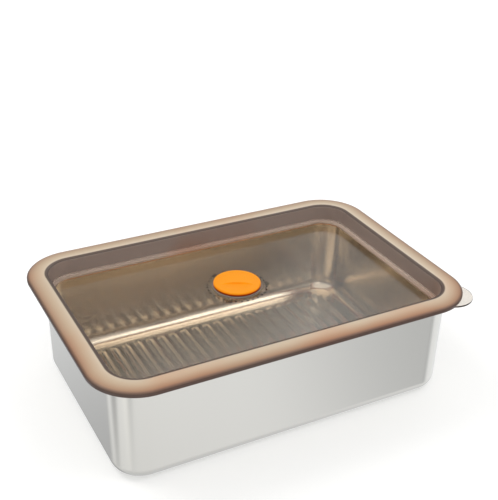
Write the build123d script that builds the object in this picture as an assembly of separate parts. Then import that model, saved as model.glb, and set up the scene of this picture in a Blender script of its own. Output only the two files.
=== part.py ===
from build123d import *
import math
import os

# A dough proofing container: a deep-drawn steel pan with a ribbed floor and a two-part
# plastic lid with a silicone seal, a lift tab and a day dial.
# Millimetres, +Z up. The origin is the middle of the underside of the pan, the long side
# lies along X, and the lid is seated on the pan.

# Pan, outside sizes
pan_length = 320.0
pan_width = 217.0
pan_height = 90.0
rim_corner_radius = 38.0
sheet = 0.8

# Pan rim and wall, insets measured inwards from the outer edge of the rim
wall_inset = 11.5
wall_draft = 1.3
mouth_bend_radius = 3.5
curl_radius = 1.5
curl_return = 2.6
bottom_radius = 11.0
floor_joint_inset = 27.0

# Pressed ribs of the pan floor, across its short side
rib_count = 23
rib_width = 6.4
rib_height = 1.7
rib_margin = 7.5

# Lid frame: brim with a crowned top, skirt round the rim, plug wall and panel ledge
rim_gap = 0.6
skirt_thickness = 1.8
skirt_drop = 0.8
edge_height = 2.3
crown_height = 2.8
crown_inset = 8.0
crown_fall = 1.6
plug_wall = 1.4
recess_depth = 14.6
ledge_width = 4.5
ledge_thickness = 1.8

# Silicone seal: a flange on the rim, a sleeve round the plug and a lip under its foot
seal_thickness = 1.2
seal_gap = 0.3
seal_start_inset = 3.0
seal_lip_width = 4.6
seal_edge_radius = 0.5

# Clear window panel of the lid
panel_thickness = 2.4
panel_gap = 0.15

# Clear lift tab at the front right corner
tab_radius = 18.0
tab_reach = 8.5
tab_thickness = 1.5
tab_edge_radius = 0.4

# Day dial, placed on the panel
dial_offset = 12.0
base_diameter = 42.8
base_thickness = 1.6
base_edge_radius = 0.5
knob_diameter = 40.7
knob_thickness = 3.1
knob_edge_radius = 1.3
knob_dome = 0.5
hub_diameter = 12.0
hub_length = 10.0
hub_chamfer = 0.8
knob_rest_angle = -25.0
running_gap = 0.3
bearing_play = 0.08
thread_gap = 0.05

# Finger scoop in the dial knob, below the arched grip edge
scoop_depth = 1.2
scoop_setback = 1.8
scoop_arch_radius = 37.0
scoop_floor_radius = 105.0
scoop_front_margin = 2.2

# Seal washer and retaining nut under the panel
washer_diameter = 22.0
washer_thickness = 1.1
nut_across_flats = 21.6
nut_thickness = 4.8
nut_sides = 8
nut_chamfer = 0.6

# One overrun for all cuts
overrun = 1.0

# Places worked out from the sizes above
half_length = pan_length / 2
half_width = pan_width / 2
corner_x = half_length - rim_corner_radius
corner_y = half_width - rim_corner_radius

seat_z = pan_height
brim_under_z = seat_z + seal_thickness
skirt_bottom_z = seat_z - skirt_drop
edge_top_z = skirt_bottom_z + edge_height
crown_z = edge_top_z + crown_height
inner_edge_z = crown_z - crown_fall
panel_top_z = crown_z - recess_depth
panel_under_z = panel_top_z - panel_thickness
foot_z = panel_under_z - ledge_thickness
seal_bottom_z = foot_z - seal_thickness


def wall_inner_inset(height):
    """Inset of the inside of the drafted pan wall at a height above the table."""
    return wall_inset + wall_draft * (pan_height - height) / pan_height + sheet


seal_outer_inset = wall_inner_inset(seal_bottom_z) + seal_gap
plug_outer_inset = seal_outer_inset + seal_thickness
plug_inner_inset = plug_outer_inset + plug_wall
skirt_inner_inset = -rim_gap
skirt_outer_inset = skirt_inner_inset - skirt_thickness

base_top_z = panel_top_z + base_thickness
knob_under_z = base_top_z + running_gap
knob_top_z = knob_under_z + knob_thickness
hub_end_z = knob_under_z - hub_length
washer_under_z = panel_under_z - washer_thickness
nut_top_z = washer_under_z - running_gap
hub_hole_diameter = hub_diameter + running_gap * 2


def at(inset, height):
    """Section point: distance from the corner axis for an inset from the rim's edge."""
    return (rim_corner_radius - inset, height)


def section_face(*lines):
    """Closed section in the XZ plane from lines drawn with x = radius and y = height."""
    return Plane.XZ * make_face(Curve() + list(lines))


def ring(section):
    """Carry a section once round the rounded rectangle of the rim."""
    pieces = []
    corners = ((corner_x, corner_y), (-corner_x, corner_y), (-corner_x, -corner_y), (corner_x, -corner_y))
    runs = (corner_y, corner_x, corner_y, corner_x)
    quarter = revolve(section, Axis.Z, revolution_arc=90)
    for turn, ((x, y), run) in enumerate(zip(corners, runs)):
        place = Pos(x, y) * Rot(0, 0, 90 * turn)
        straight = extrude(section, amount=run * 2, dir=(0, -1, 0))
        pieces += [place * quarter, place * straight]
    return Part() + pieces


def rounded_plate(inset, bottom, thickness):
    """Flat plate with the rim's outline drawn in by an inset."""
    outline = RectangleRounded(
        (half_length - inset) * 2, (half_width - inset) * 2, rim_corner_radius - inset
    )
    return Pos(0, 0, bottom) * extrude(outline, amount=thickness)


def pan_section():
    """Sheet section: floor, bottom bend, drafted wall, mouth bend, flange and curled edge."""
    floor_start = at(floor_joint_inset, 0)
    foot = at(wall_inset + wall_draft, 0)
    shoulder = at(wall_inset + wall_draft * sheet / pan_height, pan_height - sheet)
    flange_end = at(curl_radius, pan_height - sheet)
    inner_curl = curl_radius - sheet
    under = FilletPolyline(
        floor_start, foot, shoulder, flange_end, radius=[bottom_radius, mouth_bend_radius - sheet]
    )
    curl = JernArc(flange_end, (1, 0), inner_curl, -180)
    leg_end = at(curl_radius + curl_return, pan_height - sheet - inner_curl * 2)
    leg = Line(curl @ 1, leg_end)

    over_start = at(floor_joint_inset, sheet)
    draft = math.atan2(wall_draft, pan_height)
    lift = sheet / math.cos(draft) - sheet * math.tan(draft)
    over_foot = at(wall_inset + wall_draft + lift, sheet)
    over_shoulder = at(wall_inset + sheet / math.cos(draft), pan_height)
    over_end = at(curl_radius, pan_height)
    over = FilletPolyline(
        over_start, over_foot, over_shoulder, over_end, radius=[bottom_radius - sheet, mouth_bend_radius]
    )
    over_curl = JernArc(over_end, (1, 0), curl_radius, -180)
    over_leg_end = at(curl_radius + curl_return, pan_height - curl_radius * 2)
    over_leg = Line(over_curl @ 1, over_leg_end)
    return section_face(
        under, curl, leg, Line(leg_end, over_leg_end), over_leg, over_curl, over,
        Line(over_start, floor_start),
    )


def rib_bar(radius, centre_z, length):
    """Round bar with ball ends along Y, which presses one rib."""
    straight = length / 2 - radius
    profile = make_face(
        Curve() + [
            Line((0, -straight - radius), (0, straight + radius)),
            CenterArc((0, straight), radius, 0, 90),
            Line((radius, straight), (radius, -straight)),
            CenterArc((0, -straight), radius, -90, 90),
        ]
    )
    return Pos(0, 0, centre_z) * revolve(profile, Axis.Y)


def make_pan():
    """Deep-drawn steel pan with its pressed floor ribs."""
    pan = ring(pan_section()) + rounded_plate(floor_joint_inset, 0, sheet)
    flat_inset = wall_inset + wall_draft + bottom_radius
    first_x = half_length - flat_inset - rib_margin - rib_width / 2
    rib_pitch = first_x * 2 / (rib_count - 1)
    crest = sheet + rib_height
    outer_radius = (rib_width ** 2 / 4 + rib_height ** 2) / (rib_height * 2)
    centre_z = crest - outer_radius
    foot_gain = outer_radius - rib_width / 2
    length = (half_width - flat_inset - rib_margin + foot_gain) * 2
    above = Pos(0, 0, sheet / 2) * extrude(Rectangle(pan_length, pan_width), amount=pan_height)
    outer_bar = rib_bar(outer_radius, centre_z, length) & above
    inner_bar = rib_bar(outer_radius - sheet, centre_z, length - sheet * 2)
    places = [Pos(-first_x + rib_pitch * index, 0) for index in range(rib_count)]
    pan += [place * outer_bar for place in places]
    pan -= [place * inner_bar for place in places]
    return pan


def make_lid_frame():
    """Tinted lid frame: crowned brim, skirt, plug wall and the ledge under the panel."""
    edge_foot = at(skirt_outer_inset, skirt_bottom_z)
    edge_top = at(skirt_outer_inset, edge_top_z)
    inner_top = at(plug_inner_inset, inner_edge_z)
    outer_crown = EllipticalCenterArc(
        at(crown_inset, edge_top_z), crown_inset - skirt_outer_inset, crown_height, arc_size=90
    )
    inner_crown = EllipticalCenterArc(
        at(crown_inset, inner_edge_z), plug_inner_inset - crown_inset, crown_fall, 90, arc_size=90
    )
    body = Polyline(
        inner_top,
        at(plug_inner_inset, panel_under_z),
        at(plug_inner_inset + ledge_width, panel_under_z),
        at(plug_inner_inset + ledge_width, foot_z),
        at(plug_outer_inset, foot_z),
        at(plug_outer_inset, brim_under_z),
        at(skirt_inner_inset, brim_under_z),
        at(skirt_inner_inset, skirt_bottom_z),
        edge_foot,
        edge_top,
    )
    return ring(section_face(outer_crown, inner_crown, body)) - tab_blank()


def make_seal_gasket():
    """Orange silicone seal, one ring with a flange, a sleeve and a lip under the plug."""
    outline = Polyline(
        at(seal_start_inset, seat_z),
        at(seal_start_inset, brim_under_z),
        at(plug_outer_inset, brim_under_z),
        at(plug_outer_inset, foot_z),
        at(plug_outer_inset + seal_lip_width, foot_z),
        at(plug_outer_inset + seal_lip_width, seal_bottom_z),
        at(seal_outer_inset, seal_bottom_z),
        at(seal_outer_inset, seat_z),
        at(seal_start_inset, seat_z),
    )
    section = make_face(outline)
    lower_corner = section.vertices().filter_by(
        lambda corner: corner.Y < foot_z and corner.X > rim_corner_radius - plug_outer_inset
    )
    return ring(Plane.XZ * fillet(lower_corner, seal_edge_radius))


def make_lid_panel():
    """Clear window panel with the hole for the dial's hub."""
    plate = rounded_plate(plug_inner_inset + panel_gap, panel_under_z, panel_thickness)
    hole = Pos(0, dial_offset, panel_under_z - overrun) * extrude(
        Circle(hub_hole_diameter / 2), amount=panel_thickness + overrun * 2
    )
    return plate - hole


def tab_blank():
    """Tab plate before its inner side is trimmed, at the skirt's foot."""
    diagonal = math.sqrt(0.5)
    reach = rim_corner_radius - skirt_outer_inset + tab_reach - tab_radius
    x = corner_x + reach * diagonal
    y = -corner_y - reach * diagonal
    disc = Pos(x, y, skirt_bottom_z) * extrude(Circle(tab_radius), amount=tab_thickness)
    inner = Pos(corner_x, -corner_y, skirt_bottom_z - overrun) * extrude(
        Circle(rim_corner_radius - skirt_inner_inset), amount=tab_thickness + overrun * 2
    )
    return disc - inner


def make_lift_tab():
    """Clear lift tab, set into the foot of the skirt at one corner."""
    tab = tab_blank()
    rim = tab.edges().filter_by(GeomType.CIRCLE).filter_by(
        lambda edge: abs(edge.radius - tab_radius) < tab_edge_radius
    )
    return fillet(rim, tab_edge_radius)


def make_dial_base():
    """Tinted ring that the dial turns on."""
    ring_face = Circle(base_diameter / 2) - Circle(hub_diameter / 2 + bearing_play)
    base = Pos(0, dial_offset, panel_top_z) * extrude(ring_face, amount=base_thickness)
    return fillet(base.edges().group_by(Axis.Z)[-1].sort_by(SortBy.RADIUS)[-1], base_edge_radius)


def scoop_cutter():
    """Finger scoop: an upright arched wall over a hollow floor that rises to the front."""
    run = knob_diameter / 2 - scoop_front_margin - scoop_setback
    slope = math.degrees(math.atan2(scoop_depth, run))
    arch = Pos(0, -scoop_setback - scoop_arch_radius, 0) * Cylinder(scoop_arch_radius, knob_diameter)
    floor = Rot(-slope, 0, 0) * Pos(0, 0, scoop_floor_radius) * Rot(90, 0, 0) * Cylinder(
        scoop_floor_radius, knob_diameter * 2
    )
    return arch & (Pos(0, -scoop_setback, knob_thickness - scoop_depth) * floor)


def make_dial_knob():
    """Orange dial knob with its domed top, finger scoop and hub."""
    radius = knob_diameter / 2
    side_top = knob_thickness - knob_dome
    dome_radius = (radius ** 2 + knob_dome ** 2) / (knob_dome * 2)
    profile = make_face(
        Curve() + [
            Line((0, 0), (radius, 0)),
            Line((radius, 0), (radius, side_top)),
            RadiusArc((radius, side_top), (0, knob_thickness), -dome_radius),
            Line((0, knob_thickness), (0, 0)),
        ]
    )
    shoulder = profile.vertices().group_by(Axis.X)[-1].sort_by(Axis.Y)[-1]
    disc = revolve(Plane.XZ * fillet(shoulder, knob_edge_radius), Axis.Z)
    hub = Pos(0, 0, -hub_length) * extrude(Circle(hub_diameter / 2), amount=hub_length)
    hub = chamfer(hub.edges().filter_by(GeomType.CIRCLE).sort_by(Axis.Z)[0], hub_chamfer)
    return Pos(0, dial_offset, knob_under_z) * Rot(0, 0, knob_rest_angle) * (disc - scoop_cutter() + hub)


def make_dial_seal():
    """Silicone washer between the panel and the nut."""
    face = Circle(washer_diameter / 2) - Circle(hub_hole_diameter / 2)
    return Pos(0, dial_offset, washer_under_z) * extrude(face, amount=washer_thickness)


def make_dial_nut():
    """Eight-sided nut that holds the dial under the panel."""
    outline = RegularPolygon(nut_across_flats / 2, nut_sides, major_radius=False)
    bore = Circle(hub_diameter / 2 + thread_gap)
    nut = extrude(outline - bore, amount=nut_thickness)
    nut = chamfer(nut.edges().filter_by(GeomType.LINE).group_by(Axis.Z)[0], nut_chamfer)
    return Pos(0, dial_offset, nut_top_z - nut_thickness) * nut


def make_all():
    """Every piece of the container by its node's name."""
    return {
        "pan": make_pan(),
        "lid_frame": make_lid_frame(),
        "lid_panel": make_lid_panel(),
        "seal_gasket": make_seal_gasket(),
        "lift_tab": make_lift_tab(),
        "dial_base": make_dial_base(),
        "dial_knob": make_dial_knob(),
        "dial_seal": make_dial_seal(),
        "dial_nut": make_dial_nut(),
    }


if __name__ == "__main__":
    os.makedirs("parts", exist_ok=True)
    for name, piece in make_all().items():
        piece.label = name
        export_step(piece, os.path.join("parts", name + ".step"))
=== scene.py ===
"""Proofing container: steel pan, tinted lid with a silicone seal, and a day dial."""

import logging
import math
from dataclasses import dataclass, field
from enum import Enum

import bmesh
import bpy
from mathutils import Matrix, Quaternion, Vector


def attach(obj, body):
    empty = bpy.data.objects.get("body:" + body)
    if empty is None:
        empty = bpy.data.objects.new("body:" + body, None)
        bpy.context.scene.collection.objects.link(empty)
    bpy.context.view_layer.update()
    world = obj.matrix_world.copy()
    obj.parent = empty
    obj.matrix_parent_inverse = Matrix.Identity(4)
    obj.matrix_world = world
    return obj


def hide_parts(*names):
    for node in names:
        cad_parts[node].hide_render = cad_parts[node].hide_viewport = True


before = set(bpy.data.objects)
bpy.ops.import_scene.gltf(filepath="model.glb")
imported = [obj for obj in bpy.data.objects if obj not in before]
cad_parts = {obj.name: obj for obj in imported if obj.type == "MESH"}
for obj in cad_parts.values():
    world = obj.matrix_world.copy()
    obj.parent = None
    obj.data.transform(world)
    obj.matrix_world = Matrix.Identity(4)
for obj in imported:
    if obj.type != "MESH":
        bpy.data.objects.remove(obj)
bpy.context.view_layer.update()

log = logging.getLogger("container")

MM = 0.001
WELD = 0.002
QUARTER_TURN = math.pi / 2
SMOOTH_ANGLE = math.radians(32)
Z_AXIS = Vector((0.0, 0.0, 1.0))
DIAL_AXIS = (0.0, 12.0)
PANEL_TOP = 79.7
ROUND_PROFILE = 0.5
LEVEL_NORMAL = 0.9999
NOISE_DETAIL = 3.0

Colour = tuple[float, float, float, float]
Elements = list[bmesh.types.BMVert | bmesh.types.BMEdge | bmesh.types.BMFace]
Source = bpy.types.NodeSocket | Vector | float | tuple[float, ...]


class Body(Enum):
    """Moving bodies of the container."""

    PAN = "pan_body"
    LID = "lid"
    DIAL = "dial"


class Grain(Enum):
    """Way that the fine lines of a finish run, as stretch factors of the noise."""

    EVEN = (1.0, 1.0, 1.0)
    UPRIGHT = (1.0, 1.0, 0.06)


def linear(red: int, green: int, blue: int) -> Colour:
    """Turn a colour as seen on screen into linear light.

    Args:
        red: Red share from 0 to 255.
        green: Green share from 0 to 255.
        blue: Blue share from 0 to 255.

    Returns:
        The four channels that a shader socket takes.
    """
    def one(level: int) -> float:
        """One channel in linear light."""
        share = level / 255
        return share / 12.92 if share <= 0.04045 else ((share + 0.055) / 1.055) ** 2.4

    return (one(red), one(green), one(blue), 1.0)


STEEL = linear(236, 232, 223)
# Painted shade: the dark line along the rim's curl and in the mouth bend.
STEEL_IN_SHADE = linear(92, 90, 87)


@dataclass(frozen=True)
class Bend:
    """Corner of a section: its place and the reach of its rounding, in millimetres."""

    inset: float
    height: float
    run: float = 0.0
    rise: float = 0.0
    segments: int = 6

    @classmethod
    def round(cls, inset: float, height: float, radius: float, segments: int = 6) -> "Bend":
        """Corner with a circular rounding."""
        return cls(inset, height, radius, radius, segments)


@dataclass(frozen=True)
class RimOutline:
    """Rounded rectangle of the pan's rim, which every ring of the container follows."""

    half_length: float = 160.0
    half_width: float = 108.5
    corner_radius: float = 38.0
    corner_steps: int = 32

    @property
    def corner_x(self) -> float:
        """Distance of the corner axes from the middle along the length."""
        return self.half_length - self.corner_radius

    @property
    def corner_y(self) -> float:
        """Distance of the corner axes from the middle across the width."""
        return self.half_width - self.corner_radius

    def at(self, inset: float, height: float) -> Vector:
        """Point on the right-hand side, inset from the rim's edge."""
        return Vector((self.half_length - inset, self.corner_y, height))

    def section(self, bm: bmesh.types.BMesh, bends: tuple[Bend, ...], closed: bool) -> Elements:
        """Draw a section on the right-hand side and round its corners.

        Args:
            bm: Mesh that takes the section.
            bends: Corners in order.
            closed: True if the last corner joins the first.

        Returns:
            The section's vertices and edges.
        """
        points = [bm.verts.new(self.at(bend.inset, bend.height)) for bend in bends]
        followers = points[1:] + points[:1] if closed else points[1:]
        for point, follower in zip(points, followers):
            bm.edges.new((point, follower))
        for point, bend in zip(points, bends):
            if not bend.run:
                continue
            stretch = bend.run / bend.rise
            bmesh.ops.scale(bm, vec=(1, 1, stretch), verts=bm.verts[:])
            bmesh.ops.bevel(
                bm, geom=[point], offset=bend.run, offset_type="OFFSET", segments=bend.segments,
                profile=ROUND_PROFILE, affect="VERTICES", clamp_overlap=False, material=-1,
            )
            bmesh.ops.scale(bm, vec=(1, 1, 1 / stretch), verts=bm.verts[:])
        bmesh.ops.remove_doubles(bm, verts=bm.verts[:], dist=WELD)
        return bm.verts[:] + bm.edges[:]

    def carry(self, bm: bmesh.types.BMesh, section: Elements) -> None:
        """Carry a section, or one point, once round the rim.

        Args:
            bm: Mesh that holds the section.
            section: Vertices and edges on the right-hand side.
        """
        x, y = self.corner_x, self.corner_y
        legs = (
            ((x, y, 0), (-2 * x, 0, 0)),
            ((-x, y, 0), (0, -2 * y, 0)),
            ((-x, -y, 0), (2 * x, 0, 0)),
            ((x, -y, 0), (0, 2 * y, 0)),
        )
        reach = section
        for centre, straight in legs:
            reach = bmesh.ops.spin(
                bm, geom=reach, cent=centre, axis=Z_AXIS, angle=QUARTER_TURN,
                steps=self.corner_steps, use_merge=False, use_duplicate=False,
            )["geom_last"]
            reach = bmesh.ops.spin(
                bm, geom=reach, cent=centre, axis=Z_AXIS, angle=0.0, dvec=straight,
                steps=1, use_merge=False, use_duplicate=False,
            )["geom_last"]
        bmesh.ops.remove_doubles(bm, verts=bm.verts[:], dist=WELD)


@dataclass(frozen=True)
class NodeTree:
    """Nodes and links of a material or of the surroundings, with short ways to add to them."""

    nodes: bpy.types.Nodes
    links: bpy.types.NodeLinks

    @classmethod
    def of(cls, owner: bpy.types.Material | bpy.types.World) -> "NodeTree":
        """Give a new material or world its nodes."""
        owner.use_nodes = True
        return cls(owner.node_tree.nodes, owner.node_tree.links)

    def feed(self, socket: bpy.types.NodeSocket, source: Source) -> None:
        """Link a socket to its source, or set it to a plain value.

        Args:
            socket: Input socket.
            source: Output socket, number, vector or colour.
        """
        if isinstance(source, bpy.types.NodeSocket):
            self.links.new(source, socket)
        else:
            socket.default_value = source

    def node(
        self, kind: str, inputs: dict[str | int, Source] | None = None, **settings: str
    ) -> bpy.types.Node:
        """Add a node.

        Args:
            kind: Kind of node, without ShaderNode in front.
            inputs: Source of each input, by its name or number.
            settings: Choices on the node itself, made before its inputs.

        Returns:
            The new node.
        """
        node = self.nodes.new("ShaderNode" + kind)
        for name, choice in settings.items():
            setattr(node, name, choice)
        for name, source in (inputs or {}).items():
            self.feed(node.inputs[name], source)
        return node

    def step(self, operation: str, *sources: Source, kind: str = "Math") -> bpy.types.NodeSocket:
        """Add one step of arithmetic, of kind Math or VectorMath, on its sources in order."""
        return self.node(kind, dict(enumerate(sources)), operation=operation).outputs["Value"]

    def spread(
        self, value: Source, span: tuple[float, float] = (0.0, 1.0),
        onto: tuple[float, float] = (0.0, 1.0), soft: bool = False,
    ) -> bpy.types.NodeSocket:
        """Carry one range of numbers over to another.

        Args:
            value: The number.
            span: Its range.
            onto: Range that it is carried to.
            soft: True if both ends are eased.

        Returns:
            The socket with the number that comes out.
        """
        inputs = zip(("Value", "From Min", "From Max", "To Min", "To Max"), (value, *span, *onto))
        easing = "SMOOTHSTEP" if soft else "LINEAR"
        return self.node("MapRange", dict(inputs), interpolation_type=easing).outputs["Result"]

    def mix(
        self, share: Source, under: Source, over: Source, blend: str = "MIX"
    ) -> bpy.types.NodeSocket:
        """Mix a share of one colour over another."""
        inputs = {"Factor": share, "A": under, "B": over}
        return self.node("Mix", inputs, data_type="RGBA", blend_type=blend).outputs["Result"]

    def ramp(self, share: Source, stops: list[tuple[float, Colour]]) -> bpy.types.NodeSocket:
        """Add a row of colours that pass into each other.

        Args:
            share: Place in the row, from 0 to 1.
            stops: Place and colour of each stop, in order.

        Returns:
            The socket with the colour there.
        """
        node = self.node("ValToRGB", {"Fac": share})
        elements = node.color_ramp.elements
        while len(elements) < len(stops):
            elements.new(1.0)
        for element, (at, colour) in zip(elements, stops):
            element.position = at
            element.color = colour
        return node.outputs["Color"]

    def noise(self, place: bpy.types.NodeSocket, scale: float) -> bpy.types.NodeSocket:
        """Add a noise from 0 to 1, its scale per metre."""
        inputs = {"Vector": place, "Scale": scale, "Detail": NOISE_DETAIL}
        return self.node("TexNoise", inputs).outputs["Fac"]


class ToneBy(Enum):
    """What a finish takes its tone from."""

    NOISE = "noise"
    HEIGHT = "height"
    INSET = "inset"


@dataclass(frozen=True)
class Finish:
    """Surface finish with tones, fine variation of colour and gloss, and a fine texture."""

    name: str
    tones: tuple[tuple[float, Colour], ...]
    tone_by: ToneBy = ToneBy.NOISE
    roughness: tuple[float, float] = (0.3, 0.4)
    metallic: float = 0.0
    blotch_scale: float = 30.0
    blotch_share: float = 0.06
    drift: Colour | None = None
    drift_range: tuple[float, float] = (0.46, 0.68)
    drift_share: float = 0.45
    grain_scale: float = 900.0
    grain_depth: float = 0.00001
    grain_strength: float = 0.5
    grain: Grain = Grain.EVEN
    transmission: float = 0.0
    subsurface: float = 0.0
    scatter: tuple[float, float, float] = (1.0, 0.5, 0.25)
    scatter_reach: float = 0.004
    specular: float = 0.5
    ior: float = 1.5
    lets_lamps_through: Colour | None = None

    def make(self) -> bpy.types.Material:
        """Make the material.

        Returns:
            The new node material.
        """
        material = bpy.data.materials.new(self.name)
        tree = NodeTree.of(material)
        shader = tree.nodes["Principled BSDF"]
        for name, value in (
            ("Metallic", self.metallic),
            ("Transmission Weight", self.transmission),
            ("Subsurface Weight", self.subsurface),
            ("Subsurface Radius", self.scatter),
            ("Subsurface Scale", self.scatter_reach),
            ("Specular IOR Level", self.specular),
            ("IOR", self.ior),
        ):
            shader.inputs[name].default_value = value
        place = tree.node("TexCoord").outputs["Object"]
        stretch = tree.node("Mapping", {"Vector": place, "Scale": self.grain.value})
        grained = stretch.outputs["Vector"]
        blotch = tree.noise(grained, self.blotch_scale)

        low, high = 0.0, 1.0
        if self.tone_by is not ToneBy.NOISE:
            low, high = self.tones[0][0], self.tones[-1][0]
        stops = [((at - low) / (high - low), colour) for at, colour in self.tones]
        tone = tree.ramp(tree.spread(self.measure(tree, place, blotch), (low, high)), stops)
        if self.drift:
            patch = tree.spread(blotch, self.drift_range, (0.0, self.drift_share), soft=True)
            tone = tree.mix(patch, tone, self.drift, "MULTIPLY")
        uneven = tree.spread(blotch, onto=(1.0, 1.0 - self.blotch_share))
        mottled = tree.mix(1.0, tone, uneven, "MULTIPLY")
        bump = tree.node("Bump", {
            "Strength": self.grain_strength, "Distance": self.grain_depth,
            "Height": tree.noise(grained, self.grain_scale),
        })
        tree.feed(shader.inputs["Base Color"], mottled)
        tree.feed(shader.inputs["Roughness"], tree.spread(blotch, onto=self.roughness))
        tree.feed(shader.inputs["Normal"], bump.outputs["Normal"])
        if self.lets_lamps_through:
            self.open_to_lamps(tree, shader)
        return material

    def measure(
        self, tree: NodeTree, place: bpy.types.NodeSocket, blotch: bpy.types.NodeSocket
    ) -> bpy.types.NodeSocket:
        """Measure what the tone goes by.

        Args:
            tree: Nodes of the material.
            place: Socket with the place on the piece.
            blotch: Socket with the soft noise.

        Returns:
            The socket with a share of the noise, or with millimetres.
        """
        if self.tone_by is ToneBy.NOISE:
            return blotch
        split = tree.node("SeparateXYZ", {"Vector": place}).outputs
        if self.tone_by is ToneBy.HEIGHT:
            return tree.step("DIVIDE", split["Z"], MM)
        rim = RimOutline()
        beyond = {}
        for axis, corner in (("X", rim.corner_x), ("Y", rim.corner_y)):
            past = tree.step("SUBTRACT", tree.step("ABSOLUTE", split[axis]), corner * MM)
            beyond[axis] = tree.step("MAXIMUM", past, 0.0)
        from_corner = tree.node("CombineXYZ", beyond).outputs["Vector"]
        radius = tree.step("DIVIDE", tree.step("LENGTH", from_corner, kind="VectorMath"), MM)
        return tree.step("SUBTRACT", rim.corner_radius, radius)

    def open_to_lamps(self, tree: NodeTree, shader: bpy.types.Node) -> None:
        """Let the light of lamps through, as clear plastic does.

        Args:
            tree: Nodes of the material.
            shader: The material's main shader.
        """
        shadow = tree.node("LightPath").outputs["Is Shadow Ray"]
        clear = tree.node("BsdfTransparent", {"Color": self.lets_lamps_through}).outputs["BSDF"]
        mixed = tree.node("MixShader", {0: shadow, 1: shader.outputs["BSDF"], 2: clear})
        tree.feed(tree.nodes["Material Output"].inputs["Surface"], mixed.outputs["Shader"])


def plain(
    first: Colour, second: Colour, low: float = 0.3, high: float = 0.7
) -> tuple[tuple[float, Colour], ...]:
    """Tones of a plain colour that drifts between two near shades."""
    return ((low, first), (high, second))


def finish_piece(
    bm: bmesh.types.BMesh, name: str, body: Body, material: bpy.types.Material,
    replaces: str | None = None, recalculate: bool = True, flat_caps: bool = False,
) -> bpy.types.Object:
    """Turn a mesh in millimetres into a piece that rides on its body.

    Args:
        bm: Mesh in millimetres, freed here.
        name: Name of the piece.
        body: Body that carries it.
        material: Its material.
        replaces: Node that it stands for.
        recalculate: True if its faces are turned outwards here.
        flat_caps: True if its level faces are shaded flat.

    Returns:
        The new object.
    """
    if recalculate:
        bmesh.ops.recalc_face_normals(bm, faces=bm.faces[:])
    bmesh.ops.scale(bm, vec=(MM, MM, MM), verts=bm.verts[:])
    mesh = bpy.data.meshes.new(name)
    bm.to_mesh(mesh)
    bm.free()
    mesh.materials.append(material)
    level = [flat_caps and abs(face.normal.z) > LEVEL_NORMAL for face in mesh.polygons]
    mesh.polygons.foreach_set("use_smooth", [not flat for flat in level])
    mesh.set_sharp_from_angle(angle=SMOOTH_ANGLE)
    piece = bpy.data.objects.new(name, mesh)
    bpy.context.scene.collection.objects.link(piece)
    weighted = piece.modifiers.new("even_shading", "WEIGHTED_NORMAL")
    weighted.keep_sharp = True
    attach(piece, body.value)
    if replaces:
        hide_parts(replaces)
    log.info("%s: %d faces on %s", name, len(mesh.polygons), body.value)
    return piece


def dress_node(node: str, material: bpy.types.Material) -> None:
    """Give a node of the frame a better material.

    Args:
        node: Name of the node.
        material: Its new material.
    """
    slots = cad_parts[node].data.materials
    slots.clear()
    slots.append(material)
    log.info("%s: dressed as it is", node)


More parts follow.
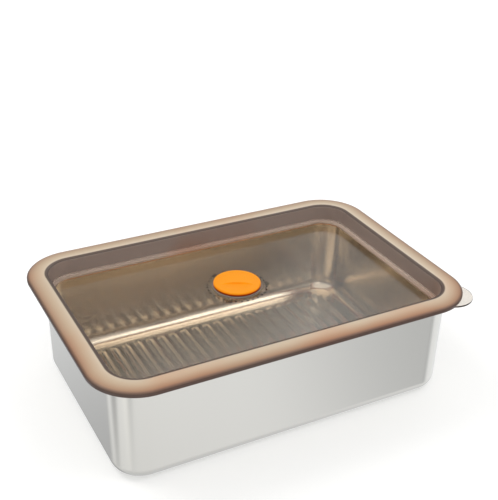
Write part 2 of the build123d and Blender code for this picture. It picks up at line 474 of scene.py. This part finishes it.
@dataclass
class Pan:
    """Deep-drawn steel pan with a curled rim and a ribbed floor."""

    rim: RimOutline = field(default_factory=RimOutline)
    height: float = 90.0
    sheet: float = 0.8
    wall_inset: float = 11.5
    wall_draft: float = 1.3
    mouth_bend_radius: float = 3.5
    curl_radius: float = 1.5
    curl_return: float = 2.6
    curl_lean: float = 0.5
    bottom_radius: float = 11.0
    bottom_segments: int = 12
    mouth_segments: int = 8
    floor_joint_inset: float = 27.0
    rib_count: int = 23
    rib_width: float = 6.4
    rib_height: float = 1.7
    rib_margin: float = 7.5
    rib_blend: float = 0.9
    grid_margin: float = 3.5
    columns_per_rib: int = 20
    rows: int = 44
    row_split: float = 0.5
    steel: Finish = Finish(
        "satin_steel",
        (
            # The dark band from 87.8 to 88.8 mm is painted shade: a dark line along the curl and in
            # the mouth bend.
            (0.0, STEEL), (87.4, STEEL), (87.8, STEEL_IN_SHADE), (88.8, STEEL_IN_SHADE),
            (89.2, STEEL), (90.0, STEEL),
        ),
        tone_by=ToneBy.HEIGHT, roughness=(0.19, 0.22), metallic=1.0, blotch_scale=9.0,
        blotch_share=0.03, grain_scale=2600.0, grain_depth=0.0000025, grain=Grain.UPRIGHT,
    )

    def rib_rise(self, x: float, y: float) -> float:
        """Height of the pressed ribs over the flat floor.

        Args:
            x: Place along the length.
            y: Place across the width.

        Returns:
            The height at that place, from 0 to the full rib height.
        """
        flat_inset = self.wall_inset + self.wall_draft + self.bottom_radius
        first = self.rim.half_length - flat_inset - self.rib_margin - self.rib_width / 2
        pitch = first * 2 / (self.rib_count - 1)
        nearest = round((x + first) / pitch) * pitch - first
        end = self.rim.half_width - flat_inset - self.rib_margin - self.rib_width / 2
        beyond = max(abs(y) - end, 0.0)
        share = math.hypot(x - nearest, beyond) / (self.rib_width / 2 + self.rib_blend)
        return self.rib_height * (1 - share ** 2) ** 2 if share < 1 else 0.0

    def add_floor(self, bm: bmesh.types.BMesh) -> None:
        """Lay the ribbed floor inside the bottom bend and join it on.

        Args:
            bm: Mesh that holds the rim, wall and bottom bend.
        """
        inner = [edge for edge in bm.edges if edge.is_boundary and self.on_floor(edge)]
        half_x = self.rim.half_length - self.floor_joint_inset - self.grid_margin
        half_y = self.rim.half_width - self.floor_joint_inset - self.grid_margin
        grid = bmesh.ops.create_grid(
            bm, x_segments=self.columns_per_rib * self.rib_count, y_segments=self.rows, size=1.0
        )["verts"]
        end = 1 - (self.rib_width + self.rib_blend * 2) / half_y
        for vert in grid:
            share = abs(vert.co.y)
            spread = share / self.row_split * end
            if share >= self.row_split:
                spread = end + (share - self.row_split) / (1 - self.row_split) * (1 - end)
            x, y = vert.co.x * half_x, math.copysign(spread, vert.co.y) * half_y
            vert.co = (x, y, self.sheet + self.rib_rise(x, y))
        grid_set = set(grid)
        outer = [
            edge for edge in bm.edges
            if edge.is_boundary and edge.verts[0] in grid_set and edge.verts[1] in grid_set
        ]
        bmesh.ops.triangle_fill(bm, use_beauty=True, edges=inner + outer)

    def on_floor(self, edge: bmesh.types.BMEdge) -> bool:
        """True if an edge lies at the height of the floor."""
        return all(vert.co.z < self.sheet * 2 for vert in edge.verts)

    def build(self) -> bpy.types.Object:
        """Build the pan as one sheet and give it its thickness.

        Returns:
            The finished pan.
        """
        foot_inset = self.wall_inset + self.wall_draft + self.sheet
        curl_foot = self.height - self.curl_radius * 2
        bends = (
            Bend(self.floor_joint_inset, self.sheet),
            Bend.round(
                foot_inset, self.sheet, self.bottom_radius - self.sheet, self.bottom_segments
            ),
            Bend.round(
                self.wall_inset + self.sheet, self.height, self.mouth_bend_radius,
                self.mouth_segments,
            ),
            Bend.round(self.curl_lean, self.height, self.curl_radius - self.curl_lean),
            Bend.round(0.0, curl_foot, self.curl_radius - self.curl_lean),
            Bend(self.curl_radius + self.curl_return, curl_foot),
        )
        bm = bmesh.new()
        self.rim.carry(bm, self.rim.section(bm, bends, closed=False))
        self.add_floor(bm)
        bmesh.ops.recalc_face_normals(bm, faces=bm.faces[:])
        middle = min(bm.faces, key=lambda face: face.calc_center_median().xy.length)
        if middle.normal.z < 0:
            bmesh.ops.reverse_faces(bm, faces=bm.faces[:])
        bmesh.ops.solidify(bm, geom=bm.faces[:], thickness=self.sheet)
        for vert in bm.verts:
            vert.co.z = max(vert.co.z, 0.0)
        return finish_piece(
            bm, "steel_pan", Body.PAN, self.steel.make(), "pan", recalculate=False
        )


@dataclass
class Lid:
    """Tinted frame with its clear panel, orange seal and clear lift tab."""

    rim: RimOutline = field(default_factory=RimOutline)
    seat: float = 90.0
    skirt_outer: float = -2.4
    skirt_inner: float = -0.6
    skirt_bottom: float = 89.2
    crown: float = 94.3
    crown_inset: float = 8.0
    crown_rise: float = 2.8
    crown_fall: float = 1.6
    rise_segments: int = 14
    fall_segments: int = 12
    brim_under: float = 91.2
    plug_outer: float = 14.03
    plug_inner: float = 15.43
    ledge_width: float = 4.5
    foot: float = 75.5
    panel_under: float = 77.3
    panel_gap: float = 0.15
    panel_rim_angle: float = 1.0
    panel_rim_segments: int = 2
    seal_start: float = 3.0
    seal_outer: float = 12.83
    seal_bottom: float = 74.3
    seal_lip: float = 4.6
    edge_round: float = 0.4
    edge_segments: int = 3
    hub_hole_radius: float = 6.3
    hub_hole_segments: int = 64
    tinted: Finish = Finish(
        "tinted_satin_plastic",
        (
            # Tones by inset paint light and shade: a dark outer edge and skirt, a crown that grows
            # lighter towards its inner side, and a dark band along the crown's inner fall.
            (-2.4, linear(84, 64, 54)), (-1.9, linear(100, 76, 62)), (-1.0, linear(134, 104, 84)),
            (0.2, linear(176, 138, 108)), (2.0, linear(190, 156, 126)),
            (5.5, linear(206, 180, 150)), (10.0, linear(220, 199, 172)),
            (11.8, linear(226, 207, 182)), (12.7, linear(96, 77, 65)), (15.1, linear(80, 64, 55)),
            (15.3, linear(140, 122, 112)), (15.5, linear(160, 142, 133)),
            (15.8, linear(236, 218, 208)), (20.0, linear(236, 218, 208)),
        ),
        tone_by=ToneBy.INSET, roughness=(0.28, 0.34), blotch_scale=9.0, drift=linear(255, 196, 160),
        grain_scale=1600.0, grain_depth=0.000006, transmission=0.14,
        lets_lamps_through=linear(120, 96, 80),
    )
    clear: Finish = Finish(
        "clear_hard_plastic", plain(linear(234, 227, 219), linear(230, 223, 214)),
        roughness=(0.02, 0.05), blotch_scale=12.0, blotch_share=0.01, grain_scale=500.0,
        grain_depth=0.000001, transmission=1.0, ior=1.49,
        lets_lamps_through=linear(238, 236, 232),
    )
    silicone: Finish = Finish(
        "orange_silicone_rubber", plain(linear(255, 152, 26), linear(250, 144, 20)),
        roughness=(0.42, 0.5), blotch_scale=40.0, grain_scale=1400.0, subsurface=0.1, specular=0.12,
    )

    def build(self) -> list[bpy.types.Object]:
        """Build the frame, seal and panel and dress the tab.

        Returns:
            The new pieces.
        """
        clear = self.clear.make()
        dress_node("lift_tab", clear)
        return [self.build_frame(), self.build_seal(), self.build_panel(clear)]

    def eased(self, *places: tuple[float, float]) -> list[Bend]:
        """Corners with the small rounding of the lid's edges, from their insets and heights."""
        return [Bend.round(*place, self.edge_round, self.edge_segments) for place in places]

    def build_frame(self) -> bpy.types.Object:
        """Build the tinted frame with its crowned brim.

        Returns:
            The frame.
        """
        inner = self.plug_inner + self.ledge_width
        bends = (
            Bend(
                self.skirt_outer, self.crown, self.crown_inset - self.skirt_outer,
                self.crown_rise, self.rise_segments,
            ),
            Bend(
                self.plug_inner, self.crown, self.plug_inner - self.crown_inset,
                self.crown_fall, self.fall_segments,
            ),
            Bend(self.plug_inner, self.panel_under),
            *self.eased(
                (inner, self.panel_under), (inner, self.foot), (self.plug_outer, self.foot),
                (self.plug_outer, self.brim_under), (self.skirt_inner, self.brim_under),
                (self.skirt_inner, self.skirt_bottom), (self.skirt_outer, self.skirt_bottom),
            ),
        )
        bm = bmesh.new()
        self.rim.carry(bm, self.rim.section(bm, bends, closed=True))
        return finish_piece(
            bm, "tinted_frame", Body.LID, self.tinted.make(), "lid_frame"
        )

    def build_seal(self) -> bpy.types.Object:
        """Build the orange seal that hangs in the pan's mouth.

        Returns:
            The seal.
        """
        lip = self.plug_outer + self.seal_lip
        bends = (
            *self.eased((self.seal_start, self.seat), (self.seal_start, self.brim_under)),
            Bend(self.plug_outer, self.brim_under),
            Bend(self.plug_outer, self.foot),
            *self.eased(
                (lip, self.foot), (lip, self.seal_bottom),
                (self.seal_outer, self.seal_bottom), (self.seal_outer, self.seat),
            ),
        )
        bm = bmesh.new()
        self.rim.carry(bm, self.rim.section(bm, bends, closed=True))
        return finish_piece(
            bm, "orange_seal", Body.LID, self.silicone.make(), "seal_gasket"
        )

    def build_panel(self, material: bpy.types.Material) -> bpy.types.Object:
        """Build the clear panel with the hole for the dial's hub.

        Args:
            material: Clear material.

        Returns:
            The panel.
        """
        bm = bmesh.new()
        corner = bm.verts.new(self.rim.at(self.plug_inner + self.panel_gap, self.panel_under))
        self.rim.carry(bm, [corner])
        hole = bmesh.ops.create_circle(
            bm, cap_ends=False, segments=self.hub_hole_segments, radius=self.hub_hole_radius
        )
        bmesh.ops.translate(bm, vec=(*DIAL_AXIS, self.panel_under), verts=hole["verts"])
        bmesh.ops.triangle_fill(bm, use_beauty=True, edges=bm.edges[:])
        up = bmesh.ops.extrude_face_region(bm, geom=bm.faces[:])["geom"]
        moved = [element for element in up if isinstance(element, bmesh.types.BMVert)]
        bmesh.ops.translate(bm, vec=(0, 0, PANEL_TOP - self.panel_under), verts=moved)
        bmesh.ops.recalc_face_normals(bm, faces=bm.faces[:])
        rims = [edge for edge in bm.edges if edge.calc_face_angle(0.0) > self.panel_rim_angle]
        bmesh.ops.bevel(
            bm, geom=rims, offset=self.edge_round, offset_type="OFFSET",
            segments=self.panel_rim_segments, profile=ROUND_PROFILE, affect="EDGES",
            clamp_overlap=True, material=-1,
        )
        return finish_piece(
            bm, "clear_panel", Body.LID, material, "lid_panel", flat_caps=True
        )


@dataclass
class Dial:
    """Orange day dial on its tinted ring, with the scale printed round it."""

    base_radius: float = 21.4
    base_thickness: float = 1.6
    base_edge: float = 0.5
    base_hole_radius: float = 6.08
    knob_radius: float = 20.35
    knob_under: float = 81.6
    knob_thickness: float = 3.1
    knob_edge: float = 1.3
    knob_dome: float = 0.5
    hub_radius: float = 6.0
    hub_end: float = 71.6
    hub_chamfer: float = 0.6
    fine_edge: float = 0.15
    edge_segments: int = 6
    rest_angle: float = -25.0
    scoop_depth: float = 1.2
    scoop_setback: float = 1.8
    scoop_arch_radius: float = 30.0
    scoop_floor_radius: float = 160.0
    scoop_front_margin: float = 2.2
    scoop_blend: float = 0.5
    scoop_softness: float = 0.12
    top_rings: int = 48
    around: int = 160
    scale_radius: float = 25.2
    dot_radius: float = 0.9
    dot_sides: int = 16
    ink_thickness: float = 0.03
    days: int = 31
    numeral_every: int = 10
    numeral_height: float = 5.6
    numeral_gap_share: float = 0.12
    stroke_growth: float = 0.12
    knob_plastic: Finish = Finish(
        "glossy_orange_plastic",
        (
            # Tones by height darken the side to deep red towards the underside: partly the deeper
            # colour of the translucent plastic at its edge, partly painted shade.
            (81.6, linear(96, 20, 4)), (82.2, linear(150, 44, 6)), (83.1, linear(240, 112, 10)),
            (83.7, linear(255, 154, 16)), (84.7, linear(255, 158, 20)),
        ),
        tone_by=ToneBy.HEIGHT, roughness=(0.3, 0.38), grain_scale=1500.0, grain_depth=0.000004,
        subsurface=0.08, specular=0.12,
    )
    ring_plastic: Finish = Finish(
        "tinted_ring_plastic", plain(linear(182, 166, 152), linear(170, 152, 138)),
        roughness=(0.2, 0.28), grain_scale=1500.0, transmission=0.45,
    )
    pale_rubber: Finish = Finish(
        "pale_silicone_rubber", plain(linear(232, 226, 216), linear(224, 217, 206)),
        roughness=(0.45, 0.55), grain_scale=1400.0, subsurface=0.1,
    )
    nut_plastic: Finish = Finish(
        "salmon_plastic", plain(linear(255, 178, 146), linear(250, 166, 132)),
        grain_scale=1400.0, subsurface=0.1,
    )
    ink: Finish = Finish(
        "grey_print", plain(linear(30, 30, 28), linear(42, 42, 40)), roughness=(0.5, 0.6),
        blotch_scale=300.0, grain_scale=1400.0, specular=0.1,
    )

    def build(self) -> list[bpy.types.Object]:
        """Build the ring, knob and scale and dress the parts under the panel.

        Returns:
            The new pieces.
        """
        dress_node("dial_seal", self.pale_rubber.make())
        dress_node("dial_nut", self.nut_plastic.make())
        return [self.build_base(), self.build_knob(), self.build_scale()]

    def turned(self, corners: tuple[tuple[float, float, float], ...]) -> bmesh.types.BMesh:
        """Turn a closed profile once round the dial's axis.

        Args:
            corners: Radius, height and rounding of each corner, in order.

        Returns:
            The turned mesh, still round the origin.
        """
        bm = bmesh.new()
        points = [bm.verts.new((radius, 0.0, height)) for radius, height, _ in corners]
        for point, follower in zip(points, points[1:] + points[:1]):
            bm.edges.new((point, follower))
        for point, (_, _, rounding) in zip(points, corners):
            if rounding:
                bmesh.ops.bevel(
                    bm, geom=[point], offset=rounding, offset_type="OFFSET",
                    segments=self.edge_segments, profile=ROUND_PROFILE, affect="VERTICES",
                    clamp_overlap=False, material=-1,
                )
        bmesh.ops.spin(
            bm, geom=bm.verts[:] + bm.edges[:], cent=(0, 0, 0), axis=Z_AXIS, angle=math.tau,
            steps=self.around, use_merge=True, use_duplicate=False,
        )
        bmesh.ops.remove_doubles(bm, verts=bm.verts[:], dist=WELD)
        return bm

    def build_base(self) -> bpy.types.Object:
        """Build the tinted ring under the knob.

        Returns:
            The ring.
        """
        top = PANEL_TOP + self.base_thickness
        bm = self.turned((
            (self.base_hole_radius, PANEL_TOP, 0.0),
            (self.base_radius, PANEL_TOP, self.fine_edge),
            (self.base_radius, top, self.base_edge),
            (self.base_hole_radius, top, self.fine_edge),
        ))
        bmesh.ops.translate(bm, vec=(*DIAL_AXIS, 0.0), verts=bm.verts[:])
        return finish_piece(
            bm, "dial_ring", Body.LID, self.ring_plastic.make(), "dial_base"
        )

    def scoop_fall(self, x: float, y: float, surface: float) -> float:
        """Depth of the finger scoop under the domed top.

        Args:
            x: Place along the grip edge, from the knob's axis.
            y: Place across the grip edge.
            surface: Height of the domed top there, from the knob's underside.

        Returns:
            How far the top falls there.
        """
        run = self.knob_radius - self.scoop_front_margin - self.scoop_setback
        slope = self.scoop_depth / run
        floor = (
            self.knob_thickness - self.scoop_depth + x * x / (2 * self.scoop_floor_radius)
            - slope * (y + self.scoop_setback)
        )
        arch_y = self.scoop_setback + self.scoop_arch_radius
        inside = self.scoop_arch_radius - math.hypot(x, y + arch_y)
        share = min(max(inside / self.scoop_blend, 0.0), 1.0)
        depth = surface - floor
        fall = (depth + math.sqrt(depth ** 2 + self.scoop_softness ** 2)) / 2
        return fall * share * share * (3 - 2 * share)

    def build_knob(self) -> bpy.types.Object:
        """Build the knob with its dome, scoop and hub.

        Returns:
            The knob.
        """
        side_top = self.knob_thickness - self.knob_dome
        bm = self.turned((
            (self.knob_radius, 0.0, self.fine_edge),
            (self.knob_radius, side_top, self.knob_edge),
            (self.hub_radius, side_top, 0.0),
            (self.hub_radius, 0.0, 0.0),
        ))
        spare = [
            face for face in bm.faces if self.is_inner(face) or self.is_flat_top(face, side_top)
        ]
        bmesh.ops.delete(bm, geom=spare, context="FACES")
        self.add_top(bm, side_top)
        self.add_hub(bm)
        bmesh.ops.remove_doubles(bm, verts=bm.verts[:], dist=WELD)
        turn = Matrix.Rotation(math.radians(self.rest_angle), 4, "Z")
        bmesh.ops.transform(bm, matrix=turn, verts=bm.verts[:])
        bmesh.ops.translate(bm, vec=(*DIAL_AXIS, self.knob_under), verts=bm.verts[:])
        return finish_piece(
            bm, "orange_dial", Body.DIAL, self.knob_plastic.make(), "dial_knob"
        )

    def is_inner(self, face: bmesh.types.BMFace) -> bool:
        """True if a face of the knob's outline stands at the hub's radius."""
        return all(vert.co.xy.length < self.hub_radius + WELD for vert in face.verts)

    def is_flat_top(self, face: bmesh.types.BMFace, height: float) -> bool:
        """True if a face of the knob's outline lies level at a height."""
        return all(abs(vert.co.z - height) < WELD for vert in face.verts)

    def add_top(self, bm: bmesh.types.BMesh, side_top: float) -> None:
        """Add the domed top with the finger scoop.

        Args:
            bm: Mesh with the knob's side.
            side_top: Height of the top at the knob's edge.
        """
        reach = self.knob_radius - self.knob_edge
        centre = bm.verts.new((0.0, 0.0, side_top))
        line = [centre] + [
            bm.verts.new((reach * (ring + 1) / self.top_rings, 0.0, side_top))
            for ring in range(self.top_rings)
        ]
        edges = [bm.edges.new(pair) for pair in zip(line, line[1:])]
        bmesh.ops.spin(
            bm, geom=line + edges, cent=(0, 0, 0), axis=Z_AXIS, angle=math.tau,
            steps=self.around, use_merge=True, use_duplicate=False,
        )
        bmesh.ops.remove_doubles(bm, verts=bm.verts[:], dist=WELD)
        for vert in bm.verts:
            radius = vert.co.xy.length
            if abs(vert.co.z - side_top) < WELD and radius <= reach + WELD:
                dome = self.knob_dome * (1 - (radius / reach) ** 2)
                surface = side_top + dome
                vert.co.z = surface - self.scoop_fall(vert.co.x, vert.co.y, surface)

    def add_hub(self, bm: bmesh.types.BMesh) -> None:
        """Add the hub that goes down through the panel.

        Args:
            bm: Mesh with the knob's side and top.
        """
        length, chamfer = self.knob_under - self.hub_end, self.hub_chamfer
        hub = bmesh.ops.create_cone(
            bm, cap_ends=True, cap_tris=False, segments=self.around,
            radius1=self.hub_radius - chamfer, radius2=self.hub_radius, depth=chamfer,
        )["verts"]
        bmesh.ops.translate(bm, vec=(0, 0, chamfer / 2 - length), verts=hub)
        cover = [face for face in bm.faces if self.is_flat_top(face, chamfer - length)]
        bmesh.ops.delete(bm, geom=cover, context="FACES_ONLY")
        top = [
            edge for edge in bm.edges
            if edge.is_boundary and all(abs(v.co.z + length - chamfer) < WELD for v in edge.verts)
        ]
        grown = bmesh.ops.extrude_edge_only(bm, edges=top)["geom"]
        moved = [element for element in grown if isinstance(element, bmesh.types.BMVert)]
        bmesh.ops.translate(bm, vec=(0, 0, length - chamfer), verts=moved)

    def build_scale(self) -> bpy.types.Object:
        """Print the dots and numerals of the days round the dial.

        Returns:
            The printed scale as one thin piece.
        """
        bm = bmesh.new()
        for day in range(1, self.days + 1):
            angle = QUARTER_TURN - (day - 1) * math.tau / self.days
            if day == 1 or day % self.numeral_every == 0:
                self.add_numeral(bm, str(day), angle)
            else:
                self.add_dot(bm, angle)
        bmesh.ops.remove_doubles(bm, verts=bm.verts[:], dist=WELD)
        return finish_piece(
            bm, "day_scale", Body.LID, self.ink.make(), recalculate=False
        )

    def on_scale(self, radius: float, angle: float) -> Matrix:
        """Move from the origin to a place on the scale, in the middle of its ink."""
        x, y = DIAL_AXIS[0] + radius * math.cos(angle), DIAL_AXIS[1] + radius * math.sin(angle)
        return Matrix.Translation((x, y, PANEL_TOP + self.ink_thickness / 2))

    def add_dot(self, bm: bmesh.types.BMesh, angle: float) -> None:
        """Print one dot of the scale.

        Args:
            bm: Mesh of the scale.
            angle: Place of the dot round the dial.
        """
        dot = bmesh.ops.create_cone(
            bm, cap_ends=True, cap_tris=False, segments=self.dot_sides,
            radius1=self.dot_radius, radius2=self.dot_radius, depth=self.ink_thickness,
        )["verts"]
        bmesh.ops.transform(bm, matrix=self.on_scale(self.scale_radius, angle), verts=dot)

    def add_numeral(self, bm: bmesh.types.BMesh, words: str, angle: float) -> None:
        """Print one numeral of the scale, its foot towards the dial.

        Args:
            bm: Mesh of the scale.
            words: The number.
            angle: Place of the number round the dial.
        """
        curve = bpy.data.curves.new("numeral", "FONT")
        curve.body = words
        curve.size = self.numeral_height
        curve.align_x = "CENTER"
        curve.align_y = "CENTER"
        curve.extrude = self.ink_thickness / 2
        curve.offset = self.stroke_growth
        text = bpy.data.objects.new("numeral", curve)
        bpy.context.scene.collection.objects.link(text)
        mesh = bpy.data.meshes.new_from_object(
            text.evaluated_get(bpy.context.evaluated_depsgraph_get())
        )
        bpy.data.objects.remove(text)
        radius = self.scale_radius + self.numeral_height * self.numeral_gap_share
        upright = Matrix.Rotation(angle - QUARTER_TURN, 4, "Z")
        mesh.transform(self.on_scale(radius, angle) @ upright)
        bm.from_mesh(mesh)
        bpy.data.meshes.remove(mesh)


@dataclass(frozen=True)
class SoftPanel:
    """Soft patch of the surroundings that polished surfaces mirror, its sizes in degrees."""

    towards: tuple[float, float, float]
    reach: float
    blur: float
    colour: tuple[float, float, float]

    def add(
        self, tree: NodeTree, direction: bpy.types.NodeSocket, under: bpy.types.NodeSocket
    ) -> bpy.types.NodeSocket:
        """Lay the panel over what is there.

        Args:
            tree: Nodes of the surroundings.
            direction: Socket with the direction looked in.
            under: Socket with the colour so far.

        Returns:
            The socket with the colour after this panel.
        """
        towards = Vector(self.towards).normalized()
        facing = tree.step("DOT_PRODUCT", direction, towards, kind="VectorMath")
        outer = math.cos(math.radians(self.reach + self.blur))
        inner = math.cos(math.radians(max(self.reach - self.blur, 0)))
        return tree.mix(
            tree.spread(facing, (outer, inner), soft=True), under, (*self.colour, 1.0)
        )


@dataclass(frozen=True)
class Surroundings:
    """What polished surfaces mirror past some bounces: shades by height, under soft panels."""

    past_bounces: float
    levels: tuple[tuple[float, tuple[float, float, float]], ...]
    panels: tuple[SoftPanel, ...]

    def add(self, tree: NodeTree, direction: bpy.types.NodeSocket) -> bpy.types.NodeSocket:
        """Add the nodes of these surroundings.

        Args:
            tree: Nodes of the world.
            direction: Socket with the direction looked in.

        Returns:
            The socket with the colour seen there.
        """
        rise = tree.node("SeparateXYZ", {"Vector": direction}).outputs["Z"]
        stops = [((height + 1) / 2, (*colour, 1.0)) for height, colour in self.levels]
        seen = tree.ramp(tree.spread(rise, (-1.0, 1.0)), stops)
        for panel in self.panels:
            seen = panel.add(tree, direction, seen)
        return seen


@dataclass(frozen=True)
class SoftLamp:
    """Large round lamp over the object."""

    name: str
    at: tuple[float, float, float]
    power: float
    size: float = 0.9
    aim_height: float = 0.05

    def hang(self) -> None:
        """Hang the lamp and turn it towards the object."""
        lamp = bpy.data.lights.new(self.name, "AREA")
        lamp.energy = self.power
        lamp.shape = "DISK"
        lamp.size = self.size
        holder = bpy.data.objects.new(self.name, lamp)
        bpy.context.scene.collection.objects.link(holder)
        holder.location = self.at
        aim = Vector((0, 0, self.aim_height)) - Vector(self.at)
        holder.rotation_euler = aim.to_track_quat("-Z", "Y").to_euler()
        holder.visible_glossy = False


@dataclass
class Studio:
    """Pale floor, soft light, pale surroundings and the camera."""

    floor_size: float = 12.0
    floor_colour: Colour = (0.9, 0.9, 0.89, 1.0)
    floor_roughness: float = 0.9
    glow_reach: tuple[float, float] = (0.4, 1.6)
    glow_levels: tuple[float, float] = (0.24, 0.6)
    level: float = 0.72
    first_mirrored: Surroundings = Surroundings(
        past_bounces=0.5,
        levels=(
            (-1.0, (0.62, 0.64, 0.67)), (-0.68, (0.77, 0.79, 0.82)), (-0.59, (0.9, 0.93, 0.97)),
            (-0.38, (0.84, 0.87, 0.92)), (-0.2, (0.62, 0.64, 0.67)),
            (0.0, (0.44, 0.46, 0.49)), (0.3, (0.4, 0.42, 0.45)), (0.42, (0.53, 0.54, 0.56)),
            (0.49, (0.62, 0.64, 0.67)), (0.54, (1.0, 1.0, 0.98)), (1.0, (1.08, 1.08, 1.05)),
        ),
        panels=(
            SoftPanel((0.2, 0.8, 0.56), 7, 4, (0.6, 0.56, 0.51)),
            SoftPanel((-0.36, 0.72, 0.59), 9, 4, (0.12, 0.1, 0.08)),
            SoftPanel((0.42, 0.69, 0.585), 9, 3, (1.6, 1.74, 1.78)),
            SoftPanel((0.33, 0.84, 0.42), 10, 4, (0.33, 0.34, 0.35)),
            SoftPanel((0.58, 0.7, 0.42), 7, 4, (0.56, 0.57, 0.59)),
            SoftPanel((0.44, -0.88, -0.08), 17, 4, (0.02, 0.02, 0.02)),
            SoftPanel((-0.48, 0.82, -0.24), 15, 4, (0.03, 0.03, 0.03)),
            SoftPanel((-0.2, 0.6, -0.78), 14, 10, (0.42, 0.43, 0.45)),
            SoftPanel((-0.82, 0.3, -0.48), 10, 8, (0.36, 0.37, 0.39)),
            SoftPanel((-0.8, -0.42, -0.45), 11, 8, (1.1, 1.12, 1.14)),
            SoftPanel((-0.72, -0.57, -0.47), 8, 7, (0.34, 0.36, 0.38)),
            SoftPanel((0.52, 0.76, -0.47), 6, 6, (0.36, 0.38, 0.4)),
            SoftPanel((0.75, -0.5, -0.45), 20, 16, (0.89, 0.92, 0.97)),
            SoftPanel((0.66, -0.6, -0.58), 8, 8, (0.5, 0.52, 0.55)),
            SoftPanel((0.0, -0.2, 1.0), 30, 8, (1.15, 1.14, 1.1)),
        ),
    )
    later_mirrored: Surroundings = Surroundings(
        past_bounces=1.5,
        levels=(
            (-1.0, (0.86, 0.87, 0.88)), (-0.2, (0.5, 0.48, 0.44)), (0.15, (0.3, 0.25, 0.19)),
            (0.35, (1.65, 1.38, 1.08)), (1.0, (1.7, 1.48, 1.2)),
        ),
        panels=(
            SoftPanel((0.37, 0.79, 0.485), 6, 5, (2.0, 1.58, 1.12)),
            SoftPanel((0.16, 0.86, 0.49), 8, 5, (0.15, 0.12, 0.09)),
            SoftPanel((-0.56, -0.7, 0.46), 22, 8, (0.26, 0.21, 0.14)),
            SoftPanel((-0.46, -0.755, 0.47), 10, 6, (0.02, 0.015, 0.01)),
            SoftPanel((0.3, -0.82, 0.45), 28, 12, (0.09, 0.07, 0.04)),
            SoftPanel((-0.25, -0.75, 0.62), 14, 6, (0.08, 0.06, 0.04)),
            SoftPanel((0.62, -0.74, 0.26), 14, 6, (1.7, 1.62, 1.5)),
            SoftPanel((0.93, -0.1, 0.36), 22, 8, (0.04, 0.03, 0.02)),
            SoftPanel((-0.93, -0.1, 0.36), 24, 10, (0.04, 0.03, 0.02)),
            SoftPanel((-0.5, 0.75, 0.43), 15, 8, (0.75, 0.62, 0.44)),
            SoftPanel((-0.4, 0.8, 0.44), 9, 5, (0.1, 0.08, 0.05)),
        ),
    )
    lamps: tuple[SoftLamp, ...] = (
        SoftLamp("key_lamp", (-0.7, 0.7, 1.4), 6.0),
        SoftLamp("side_lamp", (0.7, -0.6, 1.5), 4.0),
        SoftLamp("front_lamp", (-0.4, -1.5, 0.6), 4.0),
    )
    camera_at: tuple[float, float, float] = (-0.3135, -0.5978, 0.4855)
    azimuth: float = -28.0
    elevation: float = 28.4
    roll: float = 1.33
    lens: float = 67.4
    sensor_width: float = 36.0
    sight: tuple[float, float] = (0.01, 50.0)

    def build(self) -> None:
        """Build the whole studio."""
        self.build_floor()
        self.build_world()
        for lamp in self.lamps:
            lamp.hang()
        self.build_camera()
        bpy.context.scene.view_settings.view_transform = "Standard"

    def build_floor(self) -> None:
        """Lay the pale floor, which grows paler away from the object."""
        bm = bmesh.new()
        bmesh.ops.create_grid(bm, x_segments=1, y_segments=1, size=self.floor_size / 2)
        mesh = bpy.data.meshes.new("studio_floor")
        bm.to_mesh(mesh)
        bm.free()
        floor = bpy.data.objects.new("studio_floor", mesh)
        floor.visible_glossy = False
        bpy.context.scene.collection.objects.link(floor)
        material = bpy.data.materials.new("studio_floor")
        tree = NodeTree.of(material)
        shader = tree.nodes["Principled BSDF"]
        shader.inputs["Base Color"].default_value = self.floor_colour
        shader.inputs["Roughness"].default_value = self.floor_roughness
        shader.inputs["Specular IOR Level"].default_value = 0.0
        path = tree.node("LightPath").outputs
        seen = tree.step("MAXIMUM", path["Is Camera Ray"], path["Is Glossy Ray"])
        seen = tree.step("MAXIMUM", seen, path["Is Transmission Ray"])
        away = tree.step("LENGTH", tree.node("TexCoord").outputs["Object"], kind="VectorMath")
        paler = tree.spread(away, self.glow_reach, self.glow_levels)
        glow = tree.node("Emission", {"Strength": tree.step("MULTIPLY", seen, paler)})
        both = tree.node("AddShader", {0: shader.outputs["BSDF"], 1: glow.outputs["Emission"]})
        tree.feed(tree.nodes["Material Output"].inputs["Surface"], both.outputs["Shader"])
        mesh.materials.append(material)

    def build_world(self) -> None:
        """Make the pale surroundings, with the soft panels that steel mirrors."""
        world = bpy.data.worlds.new("studio")
        bpy.context.scene.world = world
        tree = NodeTree.of(world)
        path = tree.node("LightPath").outputs
        direction = tree.node("TexCoord").outputs["Generated"]
        seen = (1.0, 1.0, 1.0, 1.0)
        for around in (self.first_mirrored, self.later_mirrored):
            mirrored = tree.step("GREATER_THAN", path["Glossy Depth"], around.past_bounces)
            seen = tree.mix(mirrored, seen, around.add(tree, direction))
        lit = tree.mix(path["Is Diffuse Ray"], seen, (self.level, self.level, self.level, 1.0))
        tree.feed(tree.nodes["Background"].inputs["Color"], lit)

    def build_camera(self) -> None:
        """Place the camera at the photographed angle."""
        turn, rise = math.radians(self.azimuth), math.radians(self.elevation)
        forward = Vector((
            -math.sin(turn) * math.cos(rise), math.cos(turn) * math.cos(rise), -math.sin(rise),
        ))
        lens = bpy.data.cameras.new("camera")
        lens.lens = self.lens
        lens.sensor_width = self.sensor_width
        lens.clip_start, lens.clip_end = self.sight
        camera = bpy.data.objects.new("camera", lens)
        bpy.context.scene.collection.objects.link(camera)
        camera.location = self.camera_at
        camera.rotation_mode = "QUATERNION"
        roll = Quaternion(Z_AXIS, math.radians(self.roll))
        camera.rotation_quaternion = forward.to_track_quat("-Z", "Y") @ roll
        bpy.context.scene.camera = camera


def main() -> None:
    """Build the container and its studio."""
    logging.basicConfig(level=logging.INFO, format="%(name)s %(message)s")
    pieces = [Pan().build(), *Lid().build(), *Dial().build()]
    log.info("%d new pieces", len(pieces))
    Studio().build()


if __name__ == "__main__":
    main()
